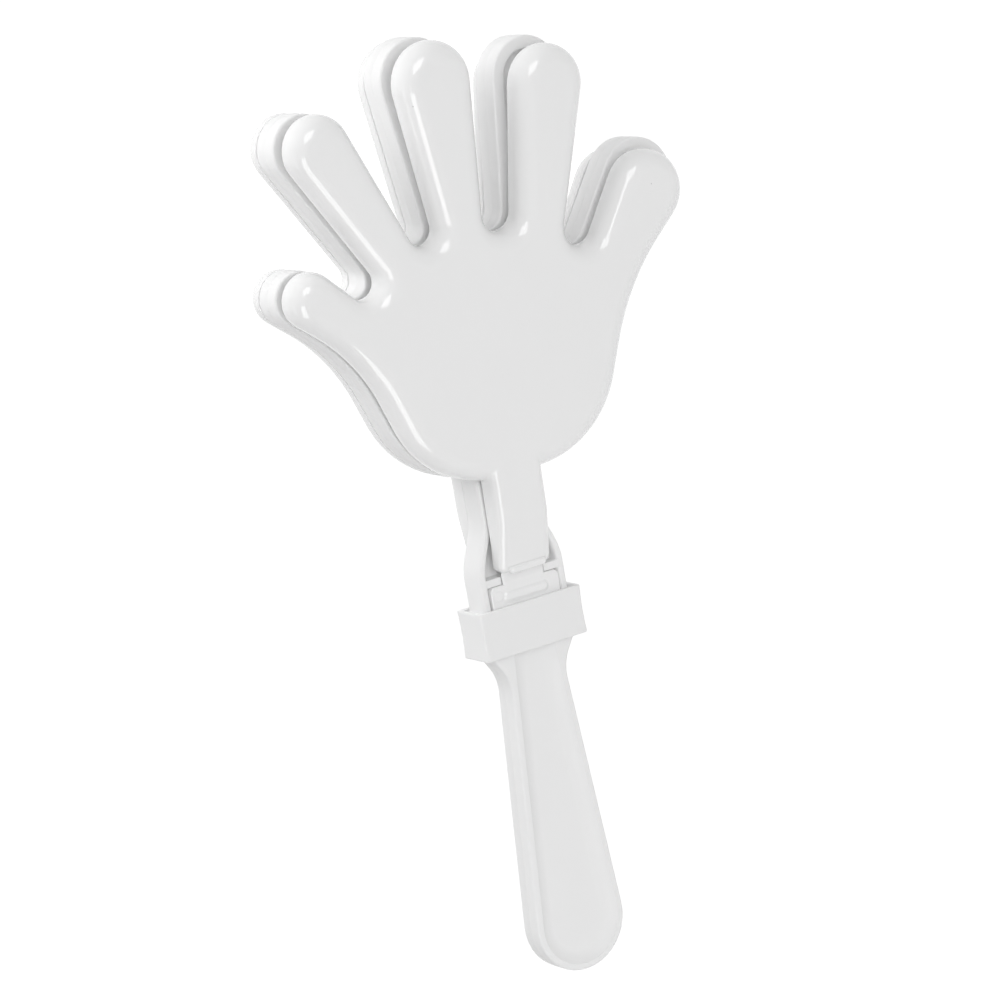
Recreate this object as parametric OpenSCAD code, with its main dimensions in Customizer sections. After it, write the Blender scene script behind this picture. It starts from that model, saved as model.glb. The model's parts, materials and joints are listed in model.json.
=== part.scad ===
// Hand clapper: a centre hand on a handle, with an outer hand on each side of it.
// Each outer hand swings on a thin living hinge, whose tab sits in a pocket of the
// wrist frame and is locked there by a collar that slides up the handle.
// +Z runs up the handle to the fingers, -Y is the front, the origin is mid-grip. Millimetres.

/* [Grip] */
// Distance from the origin down to the grip's round tip
grip_drop = 48.2; // [40:0.1:60]
// Radius of the grip's round lower end
grip_end_r = 15.1; // [13:0.1:18]
// Half width that the grip's taper reaches at the collar's mid-height
grip_top_r = 8.5; // [8:0.1:11]
// Thickness of the grip
grip_t = 8.4; // [7.4:0.1:9.2]
// Radius of the grip's edges
grip_edge_r = 1; // [0.5:0.1:1.5]
// Width of the rim round the dish in each face of the grip
grip_rim_w = 2; // [1.6:0.1:3]
// Depth of that dish
dish_depth = 1.6; // [1:0.1:2.4]
// Width of the dish's hollow side
dish_slope_w = 4.4; // [1:0.1:5]

/* [Centre hand] */
// Thickness of the centre hand and of the wrist frame below it
core_t = 9.4; // [8.4:0.1:12]
// Width of the rim round the centre hand
rim_w = 3.9; // [3:0.1:5]
// Radius of the rim's edges
rim_edge_r = 0.8; // [0.6:0.1:2.4]
// Thickness of the webs inside the rim and the wrist frame
web_t = 2; // [1.6:0.1:3]
// How much further the middle finger reaches than on the outer hands
centre_middle_more = 0.8; // [0:0.1:2]
// How much further the ring finger reaches
centre_ring_more = 1.9; // [0:0.1:3]
// Angle by which the ring finger leans more to the thumb's side
centre_ring_lean = 1.2; // [0:0.1:2]
// How much further the little finger reaches
centre_little_more = 3.6; // [0:0.1:4]
// Angle by which the little finger leans more to the thumb's side
centre_little_lean = 0.6; // [0:0.1:2]

/* [Collar] */
// Height of the collar's lower edge above the origin
collar_z = 51; // [46:0.5:60]
// Height of the collar
collar_h = 14.4; // [10:0.2:18]
// Wall of the collar
collar_wall = 1.3; // [1:0.1:2]
// Running clearance between the collar and what it slides over
collar_fit = 0.3; // [0.2:0.05:0.5]
// How far the wrist frame stands out past the grip's end on each side
collar_pass = 0.9; // [0.3:0.1:1.2]

/* [Wrist frame] */
// Width of each rail of the frame
rail_w = 3; // [2.6:0.1:3]
// How far the rails stand in from the collar's fit
rail_in = 1.2; // [0.8:0.1:1.4]
// How far below the collar's upper edge the frame's shoulders beside the rails end
shoulder_drop = 0.6; // [0.4:0.1:4]
// Width of the frame where it meets the palm
frame_neck_w = 20; // [18:0.5:26]
// Length of the bend between the wide and the narrow part of the frame
frame_bend = 18; // [14:0.5:20]
// Length of the flare below the collar
flare_h = 11; // [9:0.5:12]
// Radius of the hollow at the flare's foot
flare_r = 13; // [9:0.5:14]
// Height inside the collar at which the flare is as wide as the frame
flare_rise = 3; // [2:0.5:5]
// Radius of the flare's upper corners
flare_corner_r = 2; // [1.5:0.1:3]

/* [Locking tabs] */
// Width of a tab
tab_w = 22.8; // [20:0.2:22.8]
// Thickness of a tab
tab_t = 2.4; // [1.8:0.1:2.8]
// Radius of a tab's corners
tab_corner_r = 1.6; // [0.8:0.1:3]
// Height of a tab's shoulders above the collar
tab_rise = 5.9; // [5:0.1:8]
// Depth of a tab's foot above the collar's lower edge
tab_foot = 1; // [0.5:0.1:3]
// How far a tab stands proud of the frame
tab_proud = 0.3; // [0.1:0.05:0.6]
// Gap round a tab in its pocket
tab_gap = 0.4; // [0.2:0.05:0.6]
// Gap between a tab and the seat behind it
seat_gap = 0.1; // [0.05:0.05:0.3]
// Height of the ledges over a tab's shoulders
ledge_h = 2.4; // [1.6:0.1:3.4]
// Length of the raised stop bar on a tab
bar_len = 14.6; // [10:0.2:16]
// Radius of the stop bar's ends
bar_r = 1.2; // [0.8:0.1:1.4]
// Height of the stop bar's middle above the collar
bar_rise = 2.5; // [2:0.1:3]
// How far the stop bar stands out
bar_proud = 0.8; // [0.5:0.1:1.2]
// Radius of the round ejector pad on a tab
pad_r = 1.5; // [1:0.1:1.6]
// Distance of the ejector pad from the tab's middle
pad_x = 9.3; // [9:0.1:9.6]
// How far the ejector pad stands out
pad_proud = 0.3; // [0.2:0.05:0.5]

/* [Living hinges] */
// Width of a hinge strap
strap_w = 13.8; // [11:0.2:15]
// Thickness of a hinge strap
strap_t = 0.8; // [0.6:0.05:1]
// Length of a hinge strap between tab and wrist
strap_len = 4.3; // [3.8:0.1:6]
// Angle at which the front hand stands open at rest
front_open = 2; // [0:0.1:6]

/* [Outer hands] */
// Depth of an outer hand's shell
shell_depth = 7.4; // [6.6:0.1:9]
// Radius of the shell's round edge
shell_edge_r = 5.8; // [4:0.1:6]
// Wall of the shell
shell_wall = 2; // [1.4:0.1:2.6]
// Gap between a closed outer hand and the centre hand
hand_gap = 0.3; // [0.2:0.05:1]
// Width of an outer hand's wrist
wrist_w = 17.3; // [14:0.1:18]
// How far the wrist's middle lies to the thumb's side
wrist_off = 0.65; // [0:0.05:0.8]
// Length of the wrist from the strap to the heel of the hand
wrist_len = 28; // [24:0.5:36]
// Length of the wrist's lower part, which slopes back to the strap
wrist_slope_h = 16; // [10:0.5:20]
// Depth of the wrist at its foot
wrist_foot = 4.6; // [3.6:0.1:5.6]
// Radius of the rib along the wrist's foot
rib_r = 1.2; // [0.8:0.1:1.4]
// Length of that rib
rib_len = 12.8; // [8:0.2:13]

/* [Palm] */
// Height of the fingers' common centre above the heel of the hand
palm_up = 30; // [26:0.5:34]
// Radius of the heel on the thumb side
heel_thumb_r = 32; // [28:0.5:36]
// Distance of that radius' centre from the middle
heel_thumb_x = 5; // [2:0.5:8]
// Radius of the heel on the little finger side
heel_little_r = 31.5; // [28:0.5:36]
// Distance of that radius' centre from the middle
heel_little_x = 9; // [6:0.5:12]
// Radius of the hollow between heel and thumb
thumb_hollow_r = 54; // [40:1:70]
// Radius of the hollow between heel and little finger
little_hollow_r = 68; // [50:1:90]

/* [Fingers: distance of the tip's centre, angle from upright, tip radius] */
// Distance of the thumb's tip
thumb_reach = 65; // [60:0.5:72]
// Angle of the thumb
thumb_angle = -59; // [-64:0.5:-56]
// Radius of the thumb's tip
thumb_r = 8; // [7:0.1:9]
// Distance of the index finger's tip
index_reach = 87; // [78:0.5:96]
// Angle of the index finger
index_angle = -32; // [-36:0.5:-29]
// Radius of the index finger's tip
index_r = 10; // [8:0.1:11.5]
// Distance of the middle finger's tip
middle_reach = 85; // [76:0.5:96]
// Angle of the middle finger
middle_angle = -4.5; // [-7:0.5:-2]
// Radius of the middle finger's tip
middle_r = 12; // [9:0.1:13]
// Distance of the ring finger's tip
ring_reach = 83; // [74:0.5:94]
// Angle of the ring finger
ring_angle = 21.5; // [19:0.5:24]
// Radius of the ring finger's tip
ring_r = 11.5; // [9:0.1:13]
// Distance of the little finger's tip
little_reach = 71; // [66:0.5:80]
// Angle of the little finger
little_angle = 55.5; // [53:0.5:60]
// Radius of the little finger's tip
little_r = 12; // [9:0.1:13]

/* [Valleys between the fingers: distance of the centre, angle, radius] */
// Distance of the valley between thumb and index finger
thumb_valley = 52; // [48:0.5:56]
// Angle of that valley
thumb_valley_angle = -48.5; // [-50:0.5:-46]
// Radius of that valley
thumb_valley_r = 4.5; // [3:0.1:5]
// Distance of the valley between index and middle finger
index_valley = 48.5; // [44:0.5:54]
// Angle of that valley
index_valley_angle = -21.5; // [-23:0.5:-19]
// Radius of that valley
index_valley_r = 4.5; // [3:0.1:6]
// Distance of the valley between middle and ring finger
middle_valley = 45.5; // [42:0.5:52]
// Angle of that valley
middle_valley_angle = 10; // [8:0.5:11]
// Radius of that valley
middle_valley_r = 5.5; // [3:0.1:6]
// Distance of the valley between ring and little finger
ring_valley = 49; // [45:0.5:53]
// Angle of that valley
ring_valley_angle = 44.5; // [42:0.5:46]
// Radius of that valley
ring_valley_r = 5.5; // [3:0.1:6]

/* [Hidden] */

$fn = 48;
// Steps in each arc of an outline, in a round edge, and round a rail
arc_steps = 12;
edge_steps = 4;
rail_sides = 16;
// Overlap where two shapes of one moulding join
join = 0.5;
// Small parting between the strap and the wrist that bends on it
hinge_part = 0.05;
// The wrist's front lies this far behind the palm's
wrist_step = 0.1;
// Step that keeps faces of two joined shapes out of one plane
skin = 0.05;

half_t = core_t / 2;
grip_half_t = grip_t / 2;
collar_top = collar_z + collar_h;
frame_half_w = grip_end_r + collar_pass;
tab_front = half_t + tab_proud;
seat_half_t = tab_front - tab_t - seat_gap;
tab_top = collar_top + tab_rise;
tab_bottom = collar_z + tab_foot;
pocket_top = tab_top + tab_gap;
ledge_top = pocket_top + ledge_h;
bar_z = collar_top + bar_rise;
pad_z = tab_top - tab_corner_r - pad_r + join;
wrist_bottom = tab_top + strap_len;
heel_z = wrist_bottom + wrist_len;
hand_back = half_t + hand_gap;
hand_front = hand_back + shell_depth;
hinge_y = tab_front - strap_t / 2;
hinge_z = tab_top + strap_len / 2;
strap_back = tab_front - strap_t;
neck_top = ledge_top + frame_bend;
flare_bottom = collar_z - flare_h;
flare_top = collar_z + flare_rise;
grip_top_z = collar_z + collar_h / 2;
grip_end_z = grip_end_r - grip_drop;
rail_head = heel_z + rim_w;

// A point at a distance and an angle from upright, seen from the fingers' common centre
function polar(reach, angle) = [reach * sin(angle), palm_up + reach * cos(angle)];

// A round tip (side 1) or a hollow valley (side -1) of the hand's outline
function tip(reach, angle, r) = concat(polar(reach, angle), [r, 1]);
function valley(reach, angle, r) = concat(polar(reach, angle), [r, -1]);

// A hollow of radius r that just clears the round corners a and b, left of the way from a to b
function hollow(a, b, r) =
    let (from_a = a[2] + r + join,
         from_b = b[2] + r + join,
         span = norm([b.x - a.x, b.y - a.y]),
         along = (from_a * from_a - from_b * from_b + span * span) / (2 * span),
         aside = sqrt(from_a * from_a - along * along),
         way = [b.x - a.x, b.y - a.y] / span)
    concat([a.x, a.y] + along * way + aside * [-way.y, way.x], [r, -1]);

thumb = tip(thumb_reach, thumb_angle, thumb_r);
heel_thumb = [-heel_thumb_x, heel_thumb_r, heel_thumb_r, 1];
heel_little = [heel_little_x, heel_little_r, heel_little_r, 1];
// A hand's outline as circles, clockwise from the thumb side of the heel: every second one from
// the thumb on is a finger, with a hollow or a valley on each side of it; the last three fingers
// are given as their tips
function hand_outline(middle, ring, little) = [
    heel_thumb,
    hollow(heel_thumb, thumb, thumb_hollow_r),
    thumb,
    valley(thumb_valley, thumb_valley_angle, thumb_valley_r),
    tip(index_reach, index_angle, index_r),
    valley(index_valley, index_valley_angle, index_valley_r),
    middle,
    valley(middle_valley, middle_valley_angle, middle_valley_r),
    ring,
    valley(ring_valley, ring_valley_angle, ring_valley_r),
    little,
    hollow(little, heel_little, little_hollow_r),
    heel_little
];
hand_circles = hand_outline(
    tip(middle_reach, middle_angle, middle_r),
    tip(ring_reach, ring_angle, ring_r),
    tip(little_reach, little_angle, little_r)
);
centre_circles = hand_outline(
    tip(middle_reach + centre_middle_more, middle_angle, middle_r),
    tip(ring_reach + centre_ring_more, ring_angle - centre_ring_lean, ring_r),
    tip(little_reach + centre_little_more, little_angle - centre_little_lean, little_r)
);

function wrap(angle) = angle - 360 * floor(angle / 360);

// Angle of the outward normal of the line that touches circles a and b, on the left of the way
function touch(a, b) =
    let (way = [b.x - a.x, b.y - a.y])
    atan2(way.y, way.x) + acos((a[3] * a[2] - b[3] * b[2]) / norm(way));

// Points of a closed outline, clockwise round the circles, moved inwards by inset
function outline(circles, inset) =
    let (count = len(circles),
         normals = [for (i = [0:count - 1]) touch(circles[i], circles[(i + 1) % count])])
    [for (i = [0:count - 1])
        let (c = circles[i],
             from = normals[(i + count - 1) % count],
             turn = c[3] > 0 ? -wrap(from - normals[i]) : wrap(normals[i] - from))
        for (j = [0:arc_steps])
            let (angle = from + turn * j / arc_steps)
            [c.x, c.y] + (c[3] * c[2] - inset) * [cos(angle), sin(angle)]];

// Points of an outline stood upright at height z, at each [inset, depth] of a profile
function upright(circles, profile, z) =
    [for (p = profile, q = outline(circles, p[0])) [q.x, -p[1], z + q.y]];

// Triangles of the bands between rings of n points, ring after ring
function bands(rings, n) =
    [for (k = [0:rings - 2], i = [0:n - 1])
        let (a = k * n + i, b = k * n + (i + 1) % n)
        each [[a, b, b + n], [a, b + n, a + n]]];

// Triangles across a round end, from its middle point down both sides, in a ring of n points
function ladder(middle, steps, n) =
    [for (j = [0:steps - 1])
        let (left = (middle - j + n) % n,
             left_next = (middle - j - 1 + n) % n,
             right = (middle + j) % n,
             right_next = (middle + j + 1) % n)
        each j == 0 ? [[left, right_next, left_next]]
                    : [[left, right, right_next], [left, right_next, left_next]]];

// Index of the middle point of circle c in an outline
function mid_point(c) = c * (arc_steps + 1) + arc_steps / 2;

// Triangles that close a ring of the hand's outline: five fingers, and a fan over the palm
function hand_cap(centre) =
    let (n = len(hand_circles) * (arc_steps + 1),
         last = len(hand_circles) - 2,
         roots = [for (c = [1:2:last]) mid_point(c)],
         edge = concat(roots, [for (i = [mid_point(last) + 1:n - 1]) i],
                       [for (i = [0:mid_point(1)]) i]))
    concat([for (c = [2:2:last - 1]) each ladder(mid_point(c), arc_steps + 1, n)],
           [for (i = [0:len(edge) - 2]) [centre, edge[i], edge[i + 1]]]);

function shifted(faces, by) = [for (f = faces) [for (i = f) i + by]];
function flipped(faces) = [for (f = faces) [f[0], f[2], f[1]]];

// Half width of the grip at a height
function grip_half_w(z) =
    grip_top_r + (grip_end_r - grip_top_r) * (grip_top_z - z) / (grip_top_z - grip_end_z);

// The grip's taper as two circles, and its outline with the flare up to the wrist frame
taper_circles = [[0, grip_end_z, grip_end_r, 1], [0, grip_top_z, grip_top_r, 1]];
flare_x = grip_half_w(flare_bottom) + flare_r;
flare_corner_x = frame_half_w - flare_corner_r - skin;
grip_circles = [
    [0, grip_end_z, grip_end_r, 1],
    [-flare_x, flare_bottom, flare_r, -1],
    [-flare_corner_x, flare_top, flare_corner_r, 1],
    [flare_corner_x, flare_top, flare_corner_r, 1],
    [flare_x, flare_bottom, flare_r, -1]
];

// Smooth step from 0 to 1 as x goes from a to b
function ease(x, a, b) = (1 - cos(180 * min(1, max(0, (x - a) / (b - a))))) / 2;

// Distance of a rail's middle from the frame's middle at a height
function rail_x(z) =
    let (wide = frame_half_w - rail_in - rail_w / 2,
         narrow = frame_neck_w / 2 - rail_w / 2)
    wide + (narrow - wide) * ease(z, ledge_top, neck_top);

function sign_power(x, p) = sign(x) * pow(abs(x), p);

// Stand a flat shape upright between two depths in front of the middle
module upright_plate(back, front) {
    translate([0, -back, 0])
        rotate([90, 0, 0])
            linear_extrude(front - back)
                children();
}

module between(x0, x1, z0, z1) {
    translate([x0, z0])
        square([x1 - x0, z1 - z0]);
}

// Rim round the centre hand: its section is carried along the hand's outline
module hand_rim() {
    flat = half_t - rim_edge_r;
    corner = rim_edge_r * (1 - sqrt(0.5));
    section = [[0, -flat], [0, flat], [corner, half_t - corner], [rim_edge_r, half_t],
               [rim_w - corner, half_t], [rim_w, half_t - rim_edge_r],
               [rim_w, rim_edge_r - half_t], [rim_w - corner, -half_t],
               [rim_edge_r, -half_t], [corner, corner - half_t], [0, -flat]];
    n = len(centre_circles) * (arc_steps + 1);
    rings = len(section) - 1;
    polyhedron([for (i = [0:rings - 1]) each upright(centre_circles, [section[i]], heel_z)],
               [for (f = bands(rings + 1, n)) [for (i = f) i % (rings * n)]]);
}

// Dish in the front face of the grip: a hollow side, steep at the rim, round a flat floor
module dish() {
    side = [for (k = [0:edge_steps])
        let (s = k / edge_steps)
        [grip_rim_w + dish_slope_w * (1 - s), grip_half_t - dish_depth * (1 - s * s)]];
    profile = concat(side, [[grip_rim_w, grip_half_t + join]]);
    n = len(taper_circles) * (arc_steps + 1);
    rings = len(profile);
    close = ladder(mid_point(1), arc_steps + 1, n);
    polyhedron(upright(taper_circles, profile, 0),
               concat(bands(rings, n), flipped(close), shifted(close, (rings - 1) * n)));
}

// Grip: a flat paddle that flares out to the wrist frame, dished in both faces
module grip() {
    corner = grip_edge_r * (1 - sqrt(0.5));
    edge = [[0, grip_half_t - grip_edge_r], [corner, grip_half_t - corner], [grip_edge_r, grip_half_t]];
    profile = concat([for (k = [2:-1:0]) [edge[k][0], -edge[k][1]]], edge);
    n = len(grip_circles) * (arc_steps + 1);
    rings = len(profile);
    close = ladder(mid_point(0), (n - 1) / 2, n);
    difference() {
        polyhedron(upright(grip_circles, profile, 0),
                   concat(bands(rings, n), flipped(close), shifted(close, (rings - 1) * n)));
        for (side = [0, 1])
            mirror([0, side, 0])
                dish();
    }
}

// One rail of the wrist frame: a rounded bar that bends from the grip's flare to the palm
module rail(side) {
    stations = concat([flare_top],
                      [for (k = [0:8]) ledge_top + (neck_top - ledge_top) * k / 8],
                      [rail_head]);
    section = [for (i = [0:rail_sides - 1])
        let (a = -360 * i / rail_sides)
        [rail_w / 2 * sign_power(cos(a), 0.55), half_t * sign_power(sin(a), 0.55)]];
    points = [for (z = stations, p = section)
        [side * rail_x(z) + p.x, p.y, z]];
    top = (len(stations) - 1) * rail_sides;
    foot_face = [for (i = [rail_sides - 1:-1:0]) i];
    head_face = [for (i = [0:rail_sides - 1]) top + i];
    polyhedron(points, concat(bands(len(stations), rail_sides), [foot_face, head_face]));
}

// Outline of the tab's pocket and of the slot that its strap leaves by
module pocket_shape() {
    between(-tab_w / 2 - tab_gap, tab_w / 2 + tab_gap, tab_bottom - tab_gap, pocket_top);
    between(-strap_w / 2 - tab_gap, strap_w / 2 + tab_gap, tab_bottom, ledge_top + join);
}

// Wrist frame: two rails, a web between them, a block that the tabs' pockets are cut in, and
// shoulders beside the rails that guide the collar
module wrist_frame() {
    block_half_w = rail_x(flare_top);
    steps = 24;
    heights = [for (k = [0:steps]) collar_top + (rail_head - collar_top) * k / steps];
    rail(1);
    rail(-1);
    upright_plate(-web_t / 2, web_t / 2)
        polygon(concat([for (z = heights) [rail_x(z), z]],
                       [for (k = [steps:-1:0]) [-rail_x(heights[k]), heights[k]]]));
    upright_plate(skin - half_t, half_t - skin)
        between(-block_half_w, block_half_w, flare_top, ledge_top);
    upright_plate(skin - grip_half_t, grip_half_t - skin)
        between(skin - frame_half_w, frame_half_w - skin, flare_top - join, collar_top - shoulder_drop);
}

module handle_with_centre_hand() {
    color("white")
        difference() {
            union() {
                grip();
                wrist_frame();
                hand_rim();
                upright_plate(-web_t / 2, web_t / 2)
                    translate([0, heel_z])
                        polygon(outline(centre_circles, rim_w / 2));
            }
            for (side = [0, 1])
                mirror([0, side, 0])
                    upright_plate(seat_half_t, half_t + join)
                        pocket_shape();
        }
}

module locking_collar() {
    inner = [2 * (frame_half_w + collar_fit), 2 * (tab_front + collar_fit)];
    outer = inner + 2 * [collar_wall, collar_wall];
    color("whitesmoke")
        translate([0, 0, collar_z])
            linear_extrude(collar_h)
                difference() {
                    square(outer, center = true);
                    square(inner, center = true);
                }
}

// Tab of the front hinge: a plate with a stop bar for the collar and a round pad
module tab() {
    bar_x = bar_len / 2 - bar_r;
    upright_plate(tab_front - tab_t, tab_front)
        offset(r = tab_corner_r)
            offset(delta = -tab_corner_r)
                between(-tab_w / 2, tab_w / 2, tab_bottom, tab_top);
    upright_plate(tab_front - join, tab_front + bar_proud)
        hull()
            for (x = [-bar_x, bar_x])
                translate([x, bar_z])
                    circle(bar_r);
    upright_plate(tab_front - join, tab_front + pad_proud)
        translate([-pad_x, pad_z])
            circle(pad_r);
}

// Thin strap of the front hinge
module strap() {
    upright_plate(strap_back, tab_front)
        between(-strap_w / 2, strap_w / 2, tab_top, wrist_bottom - hinge_part);
}

// Shell of an outer hand: a flat face with a deep round edge, open at the back
module hand_shell() {
    inner_r = shell_edge_r - shell_wall;
    straight = shell_depth - shell_edge_r;
    outer_edge = [for (k = [0:edge_steps + 1])
        let (a = 90 * k / (edge_steps + 1))
        [shell_edge_r * (1 - cos(a)), hand_back + straight + shell_edge_r * sin(a)]];
    inner_edge = [for (k = [edge_steps - 1:-1:0])
        let (a = 90 * k / (edge_steps - 1))
        [shell_wall + inner_r * (1 - cos(a)), hand_back + straight + inner_r * sin(a)]];
    profile = concat(inner_edge, [[shell_wall, hand_back], [0, hand_back]], outer_edge);
    n = len(hand_circles) * (arc_steps + 1);
    rings = len(profile);
    centres = [for (p = [profile[0], profile[rings - 1]]) [0, -p[1], heel_z + palm_up]];
    inner_cap = hand_cap(rings * n);
    outer_cap = hand_cap(rings * n + 1);
    top = (rings - 1) * n;
    polyhedron(concat(upright(hand_circles, profile, heel_z), centres),
               concat(bands(rings, n),
                      flipped(inner_cap),
                      [for (f = outer_cap) [for (i = f) i < n ? i + top : i]]));
}

// Side shape of an outer hand's wrist, as [depth, height], shrunk by a wall for its hollow
function wrist_side(wall) =
    let (front = hand_front - wrist_step - wall,
         slope_top = wrist_bottom + wrist_slope_h + wall / 2,
         bottom = wrist_bottom + wall * 1.5,
         foot_front = strap_back + wrist_foot - wall,
         back = wall > 0 ? strap_back - join : strap_back,
         top = heel_z + shell_edge_r + join)
    [[back, bottom], [foot_front, bottom], [front, slope_top], [front, top],
     [wall > 0 ? back : hand_back, top], [wall > 0 ? back : hand_back, wrist_bottom + wrist_slope_h / 2]];

module wrist_prism(width, wall) {
    translate([-width / 2 - wrist_off, 0, 0])
        rotate([90, 0, 90])
            linear_extrude(width)
                polygon([for (p = wrist_side(wall)) [-p[0], p[1]]]);
}

// An outer hand, closed against the front of the centre hand
module outer_hand() {
    difference() {
        union() {
            hand_shell();
            wrist_prism(wrist_w, 0);
            translate([-rib_len / 2, -(strap_back + wrist_foot - rib_r / 2), wrist_bottom + rib_r / 2])
                rotate([0, 90, 0])
                    cylinder(h = rib_len, r = rib_r);
        }
        wrist_prism(wrist_w - 2 * shell_wall, shell_wall);
    }
}

module front_locking_tab() {
    color("whitesmoke")
        tab();
}

module front_hinge_strap() {
    color("whitesmoke")
        strap();
}

module front_hand() {
    color("whitesmoke")
        translate([0, -hinge_y, hinge_z])
            rotate([front_open, 0, 0])
                translate([0, hinge_y, -hinge_z])
                    outer_hand();
}

module rear_locking_tab() {
    color("whitesmoke")
        mirror([0, 1, 0])
            tab();
}

module rear_hinge_strap() {
    color("whitesmoke")
        mirror([0, 1, 0])
            strap();
}

module rear_hand() {
    color("whitesmoke")
        mirror([0, 1, 0])
            outer_hand();
}

handle_with_centre_hand();
locking_collar();
front_locking_tab();
front_hinge_strap();
front_hand();
rear_locking_tab();
rear_hinge_strap();
rear_hand();
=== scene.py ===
import json
import math

import bpy
import numpy as np
from mathutils import Matrix, Vector


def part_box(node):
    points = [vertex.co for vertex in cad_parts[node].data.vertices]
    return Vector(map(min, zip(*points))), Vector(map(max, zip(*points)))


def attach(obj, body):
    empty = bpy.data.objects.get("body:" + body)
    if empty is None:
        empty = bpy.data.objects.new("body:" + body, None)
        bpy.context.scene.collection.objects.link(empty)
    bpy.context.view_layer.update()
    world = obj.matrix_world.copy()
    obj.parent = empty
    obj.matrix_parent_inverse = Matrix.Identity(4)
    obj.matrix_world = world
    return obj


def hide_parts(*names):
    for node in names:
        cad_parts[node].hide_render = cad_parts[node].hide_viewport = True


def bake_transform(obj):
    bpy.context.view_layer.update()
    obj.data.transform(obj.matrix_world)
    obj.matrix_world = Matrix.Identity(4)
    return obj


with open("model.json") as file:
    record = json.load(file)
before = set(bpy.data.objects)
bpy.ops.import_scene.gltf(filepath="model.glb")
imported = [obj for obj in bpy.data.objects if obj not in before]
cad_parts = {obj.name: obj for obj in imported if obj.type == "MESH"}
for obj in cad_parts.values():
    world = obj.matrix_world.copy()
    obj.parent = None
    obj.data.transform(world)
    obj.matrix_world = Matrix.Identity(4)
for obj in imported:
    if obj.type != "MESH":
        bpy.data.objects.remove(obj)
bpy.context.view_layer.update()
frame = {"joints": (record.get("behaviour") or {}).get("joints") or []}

# Centre hand: the upper end of the handle's moulding, a rounded rim round a thin web.
# White plastic, injection-moulded in one shot with the wrist frame and the grip;
# the two outer hands clap against its rim. Sizes are in millimetres.
MM = 0.001
HALF_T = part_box("handle_with_centre_hand")[1].y / MM
HEEL_Z = 103.6
PALM_UP = 30.0
BELOW_THUMB_R = 54
BELOW_LITTLE_R = 68
RIM_W = 3.9
RIM_EDGE_R = 0.7
RIM_INNER_R = 0.5
WEB_HALF_T = 1.0
WEB_FILLET = 0.9
WEB_FLAT = 0.4
SEAM_PROUD = 0.05
SEAM_HALF_W = 0.12
ROUND, HOLLOW = 1, -1
FINGERS = (1, 3, 5, 7, 9)
VALLEYS = (0, 2, 4, 6, 8, 10)
ARC_STEPS = 20
RUN_STEPS = 27
PER_CIRCLE = ARC_STEPS + 1 + RUN_STEPS


def at(reach, degrees, radius, side):
    """A circle of the outline, seen from the fingers' common centre: its distance, its angle from
    upright, its radius, and whether it is a round tip or a hollow valley."""
    angle = math.radians(degrees)
    return (reach * math.sin(angle), PALM_UP + reach * math.cos(angle), radius, side)


def hollow_between(a, b, radius):
    """The hollow of that radius which just clears circles a and b, on the left of the way from a
    to b: its centre is where circles of the summed radii about a and b cross."""
    clear = 0.5
    way = np.array(b[:2]) - np.array(a[:2])
    span = np.linalg.norm(way)
    way = way / span
    from_a, from_b = a[2] + radius + clear, b[2] + radius + clear
    along = (from_a ** 2 - from_b ** 2 + span ** 2) / (2 * span)
    aside = math.sqrt(from_a ** 2 - along ** 2)
    centre = np.array(a[:2]) + along * way + aside * np.array([-way[1], way[0]])
    return (centre[0], centre[1], radius, HOLLOW)


THUMB = at(65, -59, 8, ROUND)
INDEX = at(87, -32, 10, ROUND)
HEEL_THUMB = (-5.0, 32.0, 32.0, ROUND)
HEEL_LITTLE = (9.0, 31.5, 31.5, ROUND)


def hand_of(middle, ring, little):
    """The hand's outline as circles from the hollow below the thumb round to the hollow below the
    little finger: every second one is a finger, with a valley on each side of it."""
    return [
        hollow_between(HEEL_THUMB, THUMB, BELOW_THUMB_R),
        THUMB,
        at(52, -48.5, 4.5, HOLLOW),
        INDEX,
        at(48.5, -21.5, 4.5, HOLLOW),
        middle,
        at(45.5, 10, 5.5, HOLLOW),
        ring,
        at(49, 44.5, 5.5, HOLLOW),
        little,
        hollow_between(little, HEEL_LITTLE, BELOW_LITTLE_R),
    ]


def outline(circles):
    """Points and outward normals of a closed line round the circles, clockwise from the front.
    Each tangent's normal leans from the way between two centres by the arc cosine of the
    difference of their signed radii over their distance; an arc turns from one normal to the next."""
    c = np.array(circles, float)
    ahead = np.roll(c, -1, axis=0)
    way = ahead[:, :2] - c[:, :2]
    signed = c[:, 2] * c[:, 3]
    lean = np.arccos((signed - np.roll(signed, -1)) / np.linalg.norm(way, axis=1))
    leave = np.arctan2(way[:, 1], way[:, 0]) + lean
    enter = np.roll(leave, 1)
    full = 2 * np.pi
    sweep = np.where(c[:, 3] > 0, -np.mod(enter - leave, full), np.mod(leave - enter, full))
    phi = enter[:, None] + sweep[:, None] * np.linspace(0, 1, ARC_STEPS + 1)
    normal = np.stack([np.cos(phi), np.sin(phi)], axis=2)
    arc = c[:, None, :2] + signed[:, None, None] * normal
    share = np.linspace(0, 1, RUN_STEPS + 2)[None, 1:-1, None]
    run = arc[:, -1:] * (1 - share) + np.roll(arc[:, :1], -1, axis=0) * share
    run_normal = np.repeat(normal[:, -1:], RUN_STEPS, axis=1)
    points = np.concatenate([arc, run], axis=1).reshape(-1, 2)
    return points, np.concatenate([normal, run_normal], axis=1).reshape(-1, 2)


def middle_of(circle):
    """Index of the middle point of a circle's arc in an outline."""
    return circle * PER_CIRCLE + ARC_STEPS // 2


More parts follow.
